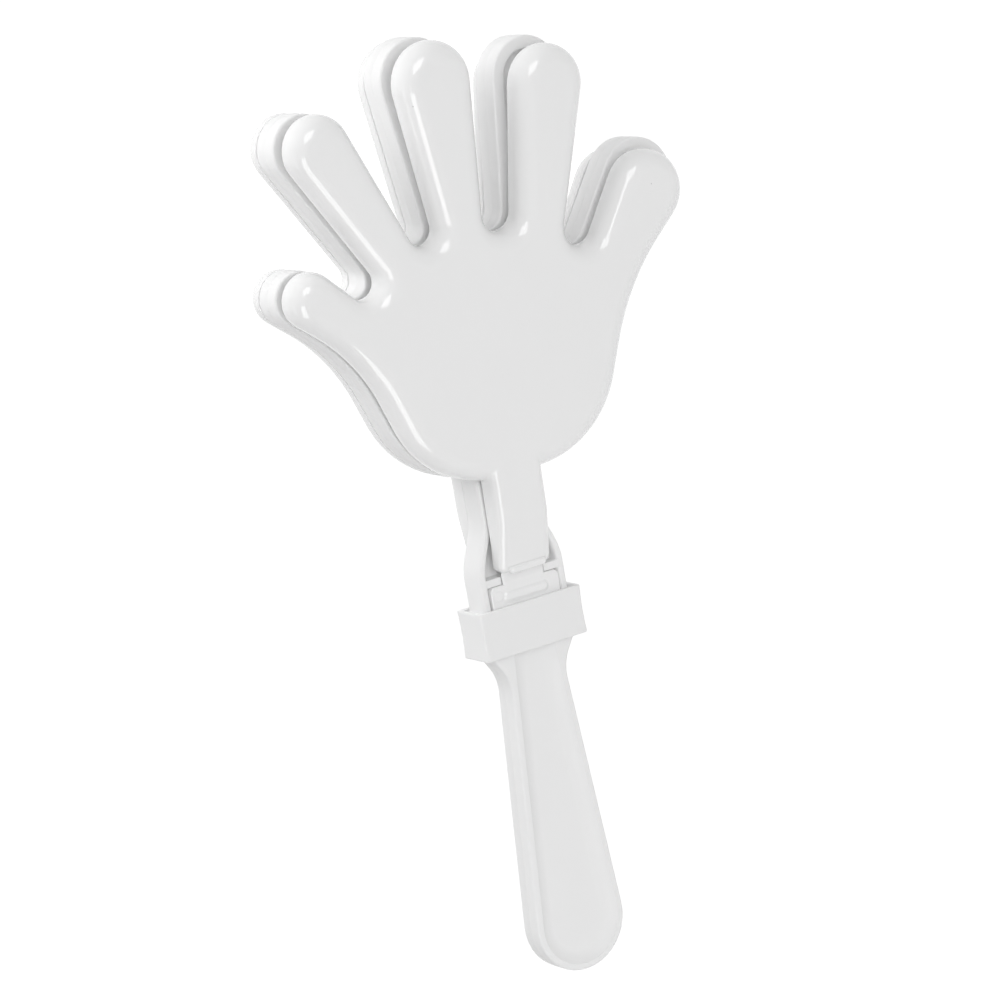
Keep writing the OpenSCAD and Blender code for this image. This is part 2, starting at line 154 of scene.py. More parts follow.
def bands(rings, points):
    """Four-sided faces between rings of points, ring after ring, which face outwards where the
    rings run clockwise seen from the last one."""
    a = (np.arange(rings - 1)[:, None] * points + np.arange(points)).ravel()
    b = (np.arange(rings - 1)[:, None] * points + (np.arange(points) + 1) % points).ravel()
    return np.stack([a, a + points, b + points, b], axis=1)


def ladder(middle, first, steps, points):
    """Faces across a finger: rungs join the points that lie equally far from its tip's middle."""
    j = np.arange(first, steps)
    rungs = np.stack([middle - j - 1, middle + j + 1, middle + j, middle - j], axis=1)
    return np.mod(rungs, points)


def finger_faces(before, points):
    """Rungs across all five fingers, and the last triangle at each tip, in an outline with that
    many circles before the hand's."""
    tips = [middle_of(before + c) for c in FINGERS]
    rungs = [ladder(tip, 1, PER_CIRCLE, points) for tip in tips]
    ends = np.mod([[tip - 1, tip + 1, tip] for tip in tips], points)
    return [np.concatenate(rungs), ends]


def palm_fan(edge, centre):
    """Triangles from the palm's centre to its edge, which is given clockwise from the front."""
    return np.stack([np.full(len(edge) - 1, centre), edge[1:], edge[:-1]], axis=1)


def hand_faces(across, palm, rings, points):
    """Faces of a hand made of rings: the bands between them, and on the last ring the faces across
    it and a fan over the palm from a middle point of its own; the first ring has the same, turned
    round. The two middle points follow the rings."""
    last = (rings - 1) * points
    first_side = [f[:, ::-1] for f in across + [palm_fan(palm, rings * points)]]
    last_side = [f + last for f in across] + [palm_fan(palm + last, rings * points + 1)]
    return [bands(rings, points)] + first_side + last_side


def add_piece(name, points, faces, material):
    """A smooth mesh object from points in millimetres and lists of faces."""
    corners = [face for part in faces for face in part.tolist()]
    mesh = bpy.data.meshes.new(name)
    mesh.from_pydata((np.asarray(points) * MM).tolist(), [], corners)
    mesh.shade_smooth()
    mesh.materials.append(material)
    mesh.update()
    piece = bpy.data.objects.new(name, mesh)
    bpy.context.scene.collection.objects.link(piece)
    return piece


def moulding_group():
    """Shader group for moulded plastic, on Object coordinates: cloudy tone, streaks of flow along
    the handle, a fine orange-peel surface on long waves, and sparse specks, as colour, roughness
    and height. Where the mesh has a fillet value above 0 the tone is darkened a little: painted
    shade down the sides of the grip's dish."""
    mean = 0.5
    flow_share = 0.5
    # Share by which the painted shade darkens the tone at the dish's brink.
    painted_shade_share = 0.03
    uneven_gloss = 0.08
    speck_roughness = 0.3
    wave_height = 4.0
    group = bpy.data.node_groups.new("moulded_plastic_skin", "ShaderNodeTree")
    number, colour = "NodeSocketFloat", "NodeSocketColor"
    for label, kind in (("Tone", colour), ("Cloud", number), ("Base Roughness", number),
                        ("Peel", number), ("Specks", number)):
        group.interface.new_socket(label, in_out="INPUT", socket_type=kind)
    for label, kind in (("Color", colour), ("Roughness", number), ("Height", number)):
        group.interface.new_socket(label, in_out="OUTPUT", socket_type=kind)
    nodes, link = group.nodes, group.links.new
    given, put = nodes.new("NodeGroupInput"), nodes.new("NodeGroupOutput")
    place = nodes.new("ShaderNodeTexCoord").outputs["Object"]

    def noise(scale, detail, stretch=(1, 1, 1)):
        """Noise with about that many features a metre, and fewer along a stretched axis."""
        mapping = nodes.new("ShaderNodeMapping")
        mapping.inputs["Scale"].default_value = stretch
        link(place, mapping.inputs["Vector"])
        made = nodes.new("ShaderNodeTexNoise")
        made.inputs["Scale"].default_value = scale
        made.inputs["Detail"].default_value = detail
        link(mapping.outputs["Vector"], made.inputs["Vector"])
        return made.outputs["Fac"]

    def result_of(operation, first, second):
        """A Math node's result on two values, each a number or another node's output."""
        made = nodes.new("ShaderNodeMath")
        made.operation = operation
        for socket, value in zip(made.inputs, (first, second)):
            if isinstance(value, (int, float)):
                socket.default_value = value
            else:
                link(value, socket)
        return made.outputs["Value"]

    clouds = result_of("SUBTRACT", noise(scale=32, detail=3), mean)
    flow = result_of("SUBTRACT", noise(scale=140, detail=2, stretch=(1, 1, 0.12)), mean)
    peel = noise(scale=1500, detail=2)
    waves = noise(scale=95, detail=1)
    cells = nodes.new("ShaderNodeTexVoronoi")
    cells.inputs["Scale"].default_value = 55
    link(place, cells.inputs["Vector"])
    speck = nodes.new("ShaderNodeMapRange")
    speck.inputs["From Min"].default_value = 0.014
    speck.inputs["From Max"].default_value = 0.008
    link(cells.outputs["Distance"], speck.inputs["Value"])
    dirt = result_of("MULTIPLY", speck.outputs["Result"], given.outputs["Specks"])
    # Painted shade: the fillet value darkens the tone down the grip's dish sides, standing in for the
    # shade in that hollow.
    fillet = nodes.new("ShaderNodeAttribute")
    fillet.attribute_name = "fillet"
    painted_dish_shade = result_of("MULTIPLY", fillet.outputs["Fac"], painted_shade_share)
    streaky = result_of("ADD", clouds, result_of("MULTIPLY", flow, flow_share))
    shade = result_of("MULTIPLY", streaky, given.outputs["Cloud"])
    light = result_of("SUBTRACT", result_of("ADD", 1.0, shade), result_of("ADD", dirt, painted_dish_shade))
    tone = nodes.new("ShaderNodeVectorMath")
    tone.operation = "SCALE"
    link(given.outputs["Tone"], tone.inputs[0])
    link(light, tone.inputs["Scale"])
    link(tone.outputs["Vector"], put.inputs["Color"])
    uneven = result_of("MULTIPLY", result_of("ADD", clouds, flow), uneven_gloss)
    rough = result_of("ADD", given.outputs["Base Roughness"], uneven)
    rough_specks = result_of("MULTIPLY", dirt, speck_roughness)
    link(result_of("ADD", rough, rough_specks), put.inputs["Roughness"])
    fine = result_of("MULTIPLY", peel, given.outputs["Peel"])
    link(result_of("ADD", fine, result_of("MULTIPLY", waves, wave_height)), put.inputs["Height"])
    return group


SKIN = moulding_group()


def plastic(name, tone, cloud, roughness, mirror, peel, specks):
    """White moulded plastic with its own tone, roughness and strength of reflection, on the shared
    skin."""
    material = bpy.data.materials.new(name)
    material.use_nodes = True
    nodes, link = material.node_tree.nodes, material.node_tree.links.new
    shader = nodes["Principled BSDF"]
    skin = nodes.new("ShaderNodeGroup")
    skin.node_tree = SKIN
    for label, value in (("Tone", (*tone, 1)), ("Cloud", cloud), ("Base Roughness", roughness),
                         ("Peel", peel), ("Specks", specks)):
        skin.inputs[label].default_value = value
    bump = nodes.new("ShaderNodeBump")
    bump.inputs["Strength"].default_value = 0.12
    bump.inputs["Distance"].default_value = 0.00004
    link(skin.outputs["Color"], shader.inputs["Base Color"])
    link(skin.outputs["Roughness"], shader.inputs["Roughness"])
    link(skin.outputs["Height"], bump.inputs["Height"])
    link(bump.outputs["Normal"], shader.inputs["Normal"])
    shader.inputs["IOR"].default_value = 1.5
    shader.inputs["Specular IOR Level"].default_value = mirror
    return material


handle_plastic = plastic("white_handle_moulding", tone=(0.88, 0.88, 0.88), cloud=0.02,
                         roughness=0.5, mirror=0.25, peel=1.0, specks=0.2)


def quarter(points):
    """Angles over a quarter turn."""
    return np.radians(np.linspace(0, 90, points))


def rim_profile():
    """Section of the rim, from the web's rear face round the outside to its front face, as inset
    and depth: a fine seam outside, a round edge on each side of the crest, and a fillet down to
    the web."""
    turn = quarter(8)
    seam = [[-SEAM_PROUD, 0.0], [0.0, SEAM_HALF_W]]
    edge = np.stack([RIM_EDGE_R * (1 - np.cos(turn)),
                     HALF_T - RIM_EDGE_R + RIM_EDGE_R * np.sin(turn)], axis=1)
    crest = np.stack([RIM_W - RIM_INNER_R + RIM_INNER_R * np.sin(turn),
                      HALF_T - RIM_INNER_R + RIM_INNER_R * np.cos(turn)], axis=1)
    root = np.stack([RIM_W + WEB_FILLET * (1 - np.cos(turn)),
                     WEB_HALF_T + WEB_FILLET * (1 - np.sin(turn))], axis=1)
    flat = [[RIM_W + WEB_FILLET + WEB_FLAT, WEB_HALF_T]]
    front = np.concatenate([seam, edge, crest, root, flat])
    rear = front[:0:-1] * [1, -1]
    return np.concatenate([rear, front])


def centre_hand():
    """The rim's section carried round the hand's outline, with a web closing it front and rear.
    The heel's circle on the thumb's side comes before the hand's circles."""
    hand = hand_of(middle=at(85.8, -4.5, 12, ROUND), ring=at(84.9, 20.3, 11.5, ROUND),
                   little=at(74.6, 54.9, 12, ROUND))
    edge, normal = outline([HEEL_THUMB] + hand + [HEEL_LITTLE])
    before = 1
    profile = rim_profile()
    count, rings = len(edge), len(profile)
    ring = edge[None] - profile[:, None, :1] * normal[None]
    depth = np.repeat(-profile[:, 1:], count, axis=1)
    points = np.stack([ring[..., 0], depth, ring[..., 1] + HEEL_Z], axis=2).reshape(-1, 3)
    middles = [[0, -profile[end, 1], HEEL_Z + PALM_UP] for end in (0, -1)]
    roots = np.array([middle_of(before + c) for c in VALLEYS])
    palm = np.concatenate([roots, np.arange(roots[-1] + 1, count), np.arange(0, roots[0] + 1)])
    faces = hand_faces(finger_faces(before, count), palm, rings, count)
    return np.concatenate([points, middles]), faces


hand_piece = add_piece("centre_hand", *centre_hand(), handle_plastic)
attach(hand_piece, "handle")
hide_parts("handle_with_centre_hand")

# Grip: the lower part of the same moulding, a flat paddle with a round end and square edges.
# A shallow dish in each face leaves a narrow rim, and below the collar the sides flare out
# to the width of the wrist frame.
GRIP_DROP = 48.2
GRIP_END_R = 15.1
GRIP_TOP_R = 8.5
GRIP_HALF_T = 4.2
GRIP_EDGE_R = 1.0
GRIP_RIM_W = 2.0
CREST_FLAT = 0.15
DISH_DEPTH = 2.0
DISH_SLOPE_W = 4.4
DISH_STEEP = 2
DISH_SOFT = 0.02
DISH_CROWD = 1.5
DISH_RUN_OUT = 0.5
# How the painted shade on the dish's sides fades towards its floor.
FILLET_FADE = 1.5
COLLAR_LOW, COLLAR_HIGH = (c.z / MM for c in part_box("locking_collar"))
GRIP_END_Z = GRIP_END_R - GRIP_DROP
GRIP_TOP_Z = (COLLAR_LOW + COLLAR_HIGH) / 2
GRIP_LEAN = (GRIP_END_R - GRIP_TOP_R) / (GRIP_TOP_Z - GRIP_END_Z)
FRAME_HALF_W = GRIP_END_R + 0.9
FLARE_LOW = COLLAR_LOW - 11
FLARE_R = 13.0
FLARE_TOP = COLLAR_LOW + 3
FLARE_CORNER_R = 2.0
FLARE_EASE = 10
DISH_BEND = FLARE_LOW + 5
DISH_TOP = FLARE_TOP - 1
RUN_OUT_LOW = FLARE_LOW - 4


def ease(x, low, high):
    """Smooth step: half a cosine wave from 0 at low to 1 at high."""
    return (1 - np.cos(np.pi * np.clip((x - low) / (high - low), 0, 1))) / 2


def grip_half_width(z):
    """Half width of the grip's taper: the common tangent of the circles at its two ends."""
    return (GRIP_END_R - GRIP_LEAN * (z - GRIP_END_Z)) / math.sqrt(1 - GRIP_LEAN ** 2)


def grip_profile():
    """Section of the grip's front half, as inset and depth: a flat side with a fine seam, a rounded
    edge, the rim's crest, and the dish's side, a power curve that runs out into its floor. Its
    points crowd towards the crest, where a short hyperbola softens the bend."""
    turn = quarter(7)
    side = [[-SEAM_PROUD, 0.0], [0.0, SEAM_HALF_W]]
    edge = np.stack([1 - np.cos(turn), GRIP_HALF_T / GRIP_EDGE_R - 1 + np.sin(turn)], axis=1)
    crest = [[GRIP_RIM_W - CREST_FLAT, GRIP_HALF_T]]
    fall = np.linspace(0, 1, 25) ** DISH_CROWD
    sunk = np.sqrt((1 - (1 - fall) ** DISH_STEEP) ** 2 + DISH_SOFT ** 2) - DISH_SOFT
    dish = np.stack([GRIP_RIM_W + DISH_SLOPE_W * fall, GRIP_HALF_T - DISH_DEPTH * sunk], axis=1)
    return np.concatenate([side, edge * GRIP_EDGE_R, crest, dish])


def grip():
    """The section carried round the flared outline. Up to the crest the rings follow the flare;
    the dish's rings follow the taper, so the crest between them widens towards the collar, where
    half of the dish's depth runs out. The fillet value, painted shade for the dish's sides, falls
    from 1 at the dish's brink to 0 at its floor."""
    flare_x = grip_half_width(FLARE_LOW) + FLARE_R
    corner_x = FRAME_HALF_W - FLARE_CORNER_R
    edge, normal = outline([
        (0, GRIP_END_Z, GRIP_END_R, ROUND),
        (-flare_x, FLARE_LOW, FLARE_R, HOLLOW),
        (-corner_x, FLARE_TOP, FLARE_CORNER_R, ROUND),
        (corner_x, FLARE_TOP, FLARE_CORNER_R, ROUND),
        (flare_x, FLARE_LOW, FLARE_R, HOLLOW),
    ])
    x, z = edge.T
    squeeze = (DISH_TOP - DISH_BEND) / (FLARE_TOP + FLARE_CORNER_R - DISH_BEND)
    squeezed = np.where(z > DISH_BEND, DISH_BEND + (z - DISH_BEND) * squeeze, z)
    wide = grip_half_width(squeezed)
    across = np.where(z > FLARE_TOP, x / FRAME_HALF_W, np.clip(x / wide, -1, 1))
    squeezed = squeezed + np.where(z > FLARE_TOP, 1 - across ** 2, 0)
    profile = grip_profile()
    profile = np.concatenate([profile[:0:-1] * [1, -1], profile])
    inset, depth = profile[:, 0][:, None], profile[:, 1][:, None]
    on_slope = inset >= GRIP_RIM_W
    past_edge = inset > (GRIP_EDGE_R + GRIP_RIM_W) / 2
    run_out = 1 - DISH_RUN_OUT * ease(z, RUN_OUT_LOW, COLLAR_LOW)[None]
    crest = np.sign(depth) * GRIP_HALF_T
    depth = np.where(on_slope, crest + (depth - crest) * run_out, depth)
    follow = edge[None] - inset[..., None] * normal[None]
    taper = np.stack(np.broadcast_arrays(across * (wide - inset), squeezed), axis=2)
    on_taper = past_edge[..., None] * ease(z, FLARE_LOW - FLARE_EASE, FLARE_LOW)[None, :, None]
    ring = follow * (1 - on_taper) + taper * on_taper
    points = np.stack(np.broadcast_arrays(ring[..., 0], -depth, ring[..., 1]), axis=2)
    count, rings = len(edge), len(profile)
    low, high = middle_of(0), middle_of(0) + count // 2
    floor = ladder(low, 1, count // 2 - 1, count)
    ends = np.array([[low - 1, low + 1, low], [high, high - 1, high + 1]])
    last = (rings - 1) * count
    faces = [bands(rings, count), floor[:, ::-1], ends[:, ::-1], floor + last, ends + last]
    # Painted shade: a mask that darkens the tone down the dish's sides, where the hollow is in shade.
    down_slope = np.clip(1 - (inset - GRIP_RIM_W) / DISH_SLOPE_W, 0, 1)
    fillet = np.where(on_slope, down_slope ** FILLET_FADE, 0)
    return points.reshape(-1, 3), faces, np.repeat(fillet, count, axis=1).ravel()


grip_points, grip_faces, grip_painted_shade_mask = grip()
grip_piece = add_piece("grip", grip_points, grip_faces, handle_plastic)
# The fillet attribute carries the painted shade to the grip's material.
painted_shade_attribute = grip_piece.data.attributes.new("fillet", "FLOAT", "POINT")
painted_shade_attribute.data.foreach_set("value", grip_painted_shade_mask)
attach(grip_piece, "handle")

# Wrist frame: the part of the moulding between the grip and the centre hand. Two round-edged
# rails frame a thin web; inside the collar a block between them has a pocket in each face for
# a locking tab, with a ledge over each of the tab's shoulders.
RAIL_HALF_W = 1.5
RAIL_IN = 1.2
RAIL_ROUND = 0.55
RAIL_FILLET = 0.3
NECK_HALF_W = 10.0
NECK_SINK = 2.4
TAB_LOW, TAB_HIGH = (c.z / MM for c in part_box("front_locking_tab"))
TAB_HALF_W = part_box("front_locking_tab")[1].x / MM
STRAP_HALF_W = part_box("front_hinge_strap")[1].x / MM
TAB_GAP = 0.4
POCKET_TOP = TAB_HIGH + TAB_GAP
LEDGE_TOP = POCKET_TOP + 2.4
LEDGE_DROP = 0.1
STEP_EASE = 0.14
NECK_TOP = LEDGE_TOP + 18
SEAT_HALF_T = 2.5
SHOULDER_TOP = COLLAR_HIGH - 0.6
SHOULDER_EASE = 0.25


def soft_max(a, b, blend):
    """The larger of two heights, with the corner between them rounded over the blend."""
    return (a + b + np.sqrt((a - b) ** 2 + blend ** 2)) / 2


def rail_middle(z):
    """Distance of a rail's middle line from the frame's: wide at the collar, narrow at the palm."""
    wide, narrow = FRAME_HALF_W - RAIL_IN - RAIL_HALF_W, NECK_HALF_W - RAIL_HALF_W
    return wide + (narrow - wide) * ease(z, LEDGE_TOP, NECK_TOP)


def shoulder(z):
    """How far a rail's outer side stands out to guide the collar: the full width inside it, and
    nothing just below its upper edge."""
    return (RAIL_IN - SEAM_PROUD) * (1 - ease(z, SHOULDER_TOP - SHOULDER_EASE, SHOULDER_TOP))


def inner_height(x, z):
    """Height between the rails: the web, the tab's seat, and the ledges over its shoulders."""
    slot = STRAP_HALF_W + TAB_GAP
    block = 1 - ease(z, LEDGE_TOP - STEP_EASE, LEDGE_TOP + STEP_EASE)
    seat = WEB_HALF_T + (SEAT_HALF_T - WEB_HALF_T) * block
    beside = ease(np.abs(x), slot - STEP_EASE, slot + STEP_EASE)
    ledge = block * beside * ease(z, POCKET_TOP - STEP_EASE, POCKET_TOP + STEP_EASE)
    return seat + (HALF_T - LEDGE_DROP - seat) * ledge


def spread(*stops):
    """Values from stop to stop, each stop given as its place and the number of steps to the next."""
    parts = [np.linspace(a[0], b[0], a[1], endpoint=False) for a, b in zip(stops, stops[1:])]
    return np.concatenate(parts + [[stops[-1][0]]])


def capped(rings, clockwise):
    """Rings of points as one closed shape: bands between them and a flat face at each end. The
    faces are turned round where the rings don't run clockwise seen from the last one."""
    count = rings.shape[1]
    ends = np.arange(count)[None]
    faces = [bands(len(rings), count), ends, ends[:, ::-1] + (len(rings) - 1) * count]
    return rings.reshape(-1, 3), faces if clockwise else [f[:, ::-1] for f in faces]


def wrist_frame():
    """Rows of constant height from inside the collar to inside the centre hand's rim, closer
    together at each step. A row crosses the web, goes over a rail's super-elliptic section at each
    side, and returns over the rear."""
    by_shoulder, by_step, by_slot = 0.1, 0.5, 0.03
    z = spread(
        (FLARE_TOP, 10),
        (SHOULDER_TOP - SHOULDER_EASE - by_shoulder, 10),
        (SHOULDER_TOP + by_shoulder, 10),
        (POCKET_TOP - by_step, 14),
        (POCKET_TOP + by_step, 10),
        (LEDGE_TOP - by_step, 14),
        (LEDGE_TOP + by_step, 44),
        (NECK_TOP, 18),
        (HEEL_Z + NECK_SINK, 1),
    )[:, None]
    slot = (STRAP_HALF_W + TAB_GAP) / (FRAME_HALF_W - RAIL_IN - 2 * RAIL_HALF_W)
    inner = spread((0, 8), (slot - by_slot, 12), (slot + by_slot, 8), (1, 1))[None, :-1]
    turn = np.radians(np.linspace(180, 0, 31))[None]
    middle = rail_middle(z)
    across = np.sign(np.cos(turn)) * np.abs(np.cos(turn)) ** RAIL_ROUND
    over = RAIL_HALF_W * across + shoulder(z) * np.clip(across, 0, 1)
    rail = np.repeat((HALF_T - SEAM_PROUD) * np.sin(turn) ** RAIL_ROUND, len(z), axis=0)
    x = np.concatenate([(middle - RAIL_HALF_W) * inner, middle + over], axis=1)
    rise = np.concatenate([np.zeros((len(z), inner.shape[1])), rail], axis=1)
    floor = inner_height(x, z) * (x < middle)
    y = np.where(x < middle, soft_max(rise, floor, RAIL_FILLET), rise)
    front_right = np.stack(np.broadcast_arrays(x, -y, z), axis=2)
    front_left = front_right[:, :0:-1] * [-1, 1, 1]
    front = np.concatenate([front_left, front_right], axis=1)
    rear = front[:, -2:0:-1] * [1, -1, 1]
    return capped(np.concatenate([front, rear], axis=1), clockwise=False)


frame_piece = add_piece("wrist_frame", *wrist_frame(), handle_plastic)
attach(frame_piece, "handle")

# Locking tabs: the foot of each clapper's moulding, a plate that drops into the frame's pocket.
# White plastic; a raised bar stops the collar, and a round pad is left by the ejector pin.
# The collar holds each tab in its pocket.
TAB_PROUD = 0.3
TAB_FRONT = HALF_T + TAB_PROUD
TAB_T = 2.4
TAB_CORNER_R = 1.6
TAB_EDGE_R = 0.4
TAB_SNUG = 0.3
BAR_HALF_LEN = 7.3
BAR_R = 1.2
BAR_Z = COLLAR_HIGH + 2.5
BAR_PROUD = 0.45
BAR_SLOPE = 1.1
PAD_X = -9.3
PAD_R = 1.5
PAD_Z = TAB_HIGH - TAB_CORNER_R - PAD_R + 0.5
PAD_PROUD = 0.12
PAD_SLOPE = 0.5
PAD_STRETCH = 0.1
clapper_plastic = plastic("white_clapper_moulding", tone=(0.88, 0.88, 0.88), cloud=0.015,
                          roughness=0.07, mirror=0.5, peel=0.15, specks=0.3)


def round_box(half_w, low, high, radius):
    """Circles in the corners of a box that is as wide on both sides, clockwise from its lower
    left."""
    x = half_w - radius
    corners = ((-x, low + radius), (-x, high - radius), (x, high - radius), (x, low + radius))
    return [(*corner, radius, ROUND) for corner in corners]


def raised(circles, inset, depth):
    """A shape whose outline is carried from the first depth to the last, moved in by the inset
    there, and closed by a flat face at each end."""
    points, normal = outline(circles)
    ring = points[None] - inset[:, None, None] * normal[None]
    rings = np.broadcast_arrays(ring[..., 0], -depth[:, None], ring[..., 1])
    return capped(np.stack(rings, axis=2), clockwise=True)


def plate(circles, low, high, edge_r):
    """A plate from depth low to high, with both edges rounded as quarter circles."""
    flat = 0.2
    out, up = 1 - np.sin(quarter(7)), 1 - np.cos(quarter(7))
    inset = np.concatenate([[edge_r], edge_r * out[1:], edge_r * up, [edge_r + flat]])
    rear = low + edge_r * up[1:]
    front = high - edge_r + edge_r * np.sin(quarter(7))
    return raised(circles, inset, np.concatenate([[low], rear, front, [high]]))


def mound(circles, proud, slope):
    """A low shape on the tab's face: its outline shrinks as half a cosine wave lifts it from the
    face, over a slope that straddles the outline. Its root is sunk in the face."""
    flat, root = 0.1, 0.3
    rise = np.linspace(0, 1, 12)
    inset = np.concatenate([[-slope / 2], slope * (rise - 0.5), [slope / 2 + flat]])
    lift = np.concatenate([[-root], proud * ease(rise, 0, 1), [proud]])
    return raised(circles, inset, lift + TAB_FRONT)


def joined(*solids):
    """Several closed shapes as one mesh."""
    points = np.concatenate([s[0] for s in solids])
    starts = np.cumsum([0] + [len(s[0]) for s in solids[:-1]])
    return points, [f + start for s, start in zip(solids, starts) for f in s[1]]


def rear_of(solid):
    """The mirror image of a front shape, behind the middle plane, with its faces turned back."""
    points, faces = solid
    return points * [1, -1, 1], [f[:, ::-1] for f in faces]


def tab():
    """Plate with round corners, the stop bar and the ejector's pad."""
    corners = round_box(TAB_HALF_W + TAB_SNUG, TAB_LOW, TAB_HIGH + TAB_SNUG, TAB_CORNER_R)
    body = plate(corners, TAB_FRONT - TAB_T, TAB_FRONT, TAB_EDGE_R)
    end = BAR_HALF_LEN - BAR_R
    bar = mound([(-end, BAR_Z, BAR_R, ROUND), (end, BAR_Z, BAR_R, ROUND)], BAR_PROUD, BAR_SLOPE)
    pad = mound([(PAD_X - PAD_STRETCH, PAD_Z, PAD_R - PAD_STRETCH, ROUND),
                 (PAD_X + PAD_STRETCH, PAD_Z, PAD_R - PAD_STRETCH, ROUND)], PAD_PROUD, PAD_SLOPE)
    return joined(body, bar, pad)


for name, solid in (("front_locking_tab", tab()), ("rear_locking_tab", rear_of(tab()))):
    tab_piece = add_piece(name + "_moulded", *solid, clapper_plastic)
    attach(tab_piece, "handle")
    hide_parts(name)

# Living hinges: the thin strap between a tab and its hand's wrist, moulded with them.
# The plastic is thinned to a line at mid-height, where the strap bends as the hand swings.
# The front hand stands a little open at rest, so its strap is bent by that angle.
JOINTS = {joint["name"]: joint for joint in frame["joints"]}
FRONT_OPEN = math.radians(-JOINTS["front_hinge"]["range_deg"][0])
HINGE_Y = -JOINTS["front_hinge"]["pos_m"][1] / MM
HINGE_Z = JOINTS["front_hinge"]["pos_m"][2] / MM
STRAP_T = 0.8
STRAP_WAIST = 0.5
STRAP_SINK = 0.7
STRAP_ROOT = 2.0
STRAP_SPREAD = 0.25
STRAP_SQUARE = 0.5
STRAP_BEVEL = 1.6
WAIST_HALF_H = 1.3
BEND_HALF_H = 1.2
WRIST_BOTTOM = HINGE_Z + (HINGE_Z - TAB_HIGH)


def swung(points, angle):
    """Points turned about the front hinge's axis, which lies along x; a positive angle opens."""
    y, z = points[..., 1] + HINGE_Y, points[..., 2] - HINGE_Z
    turned = points.copy()
    turned[..., 1] = y * np.cos(angle) - z * np.sin(angle) - HINGE_Y
    turned[..., 2] = y * np.sin(angle) + z * np.cos(angle) + HINGE_Z
    return turned


def strap(angle):
    """A flat strip with round edges, thinned in the middle by half a cosine wave, whose upper end
    leans by the angle at which the hand stands open."""
    z = np.linspace(TAB_HIGH - STRAP_ROOT, WRIST_BOTTOM + STRAP_SINK, 49)[:, None]
    turn = np.linspace(0, 2 * np.pi, 48, endpoint=False)[None]
    thin = 1 - ease(np.abs(z - HINGE_Z), 0, WAIST_HALF_H)
    half_t = (STRAP_T - (STRAP_T - STRAP_WAIST) * thin) / 2 + SEAM_PROUD / 2
    edge = STRAP_T / 2
    flat = np.sign(np.cos(turn)) * np.abs(np.cos(turn)) ** STRAP_SQUARE
    x = (STRAP_HALF_W + STRAP_SPREAD - edge) * flat + edge * np.cos(turn)
    y = half_t * np.clip(STRAP_BEVEL * np.sin(turn), -1, 1) - HINGE_Y
    rings = np.stack(np.broadcast_arrays(x, y, z), axis=2)
    lean = angle * ease(z, HINGE_Z - BEND_HALF_H, HINGE_Z + BEND_HALF_H)
    return capped(swung(rings, lean), clockwise=False)


for name, solid, side in (("front", strap(FRONT_OPEN), -1), ("rear", rear_of(strap(0.0)), 1)):
    strap_piece = add_piece(name + "_living_hinge", *solid, clapper_plastic)
    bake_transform(strap_piece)
    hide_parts(name + "_hinge_strap")

# Outer hands: hollow shells with a flat palm and deep round edges, open at the back, each with
# a narrow wrist that slopes back to its living hinge. White plastic, in one moulding with the
# hinge and the tab; the wrist's foot ends in a half-round rib.
SHELL_DEPTH = 7.4
SHELL_EDGE_R = 5.8
SHELL_WALL = 2.0
SHELL_FLAT = 0.4
BACK_EDGE_R = 0.25
BACK_LIP = 0.6
HAND_GAP = 0.3
HAND_BACK = HALF_T + HAND_GAP
WRIST_HALF_W = 8.65
WRIST_X = -0.65
WRIST_EDGE_R = 2.7
WRIST_HOLLOW_R = 0.8
WRIST_LEN = HEEL_Z - WRIST_BOTTOM
WRIST_CORNER_R = 1.2
FOOT_CORNER_R = 2.2
FOOT_SQUASH = 0.6
HEEL_BLEND = 8
SLOPE_H = 16.0
SLOPE_SOFT = 1.0
FOOT_FRONT = 8.8
FOOT_BACK = HINGE_Y - STRAP_T / 2
RIB_R = 1.4
RIB_PROUD = 0.45
RIB_HALF_LEN = 6.4
RIB_END_TURN = 88


def corner_beside(heel, side):
    """The hollow corner between the wrist's side and the heel, which just clears the heel."""
    clear = 0.15
    x = WRIST_X + side * (WRIST_HALF_W + WRIST_CORNER_R)
    reach = heel[2] + WRIST_CORNER_R + clear
    return (x, heel[1] - math.sqrt(reach ** 2 - (x - heel[0]) ** 2), WRIST_CORNER_R, HOLLOW)


foot_x, foot_v = WRIST_HALF_W - FOOT_CORNER_R, FOOT_CORNER_R - WRIST_LEN
SHELL_CIRCLES = hand_of(
    middle=at(85, -4.5, 12, ROUND),
    ring=at(83, 21.5, 11.5, ROUND),
    little=at(71, 55.5, 12, ROUND),
) + [
    HEEL_LITTLE,
    corner_beside(HEEL_LITTLE, 1),
    (WRIST_X + foot_x, foot_v, FOOT_CORNER_R, ROUND),
    (WRIST_X - foot_x, foot_v, FOOT_CORNER_R, ROUND),
    corner_beside(HEEL_THUMB, -1),
    HEEL_THUMB,
]
RIGHT_HEEL, RIGHT_CORNER, RIGHT_FOOT, LEFT_FOOT, LEFT_CORNER, LEFT_HEEL = range(11, 17)


def round_over(depth, top, radius):
    """Inset of a wall at a depth: none below its round edge, then a quarter circle up to the top."""
    rise = np.clip(depth - (top - radius), 0, radius)
    return radius - np.sqrt(radius ** 2 - rise ** 2)


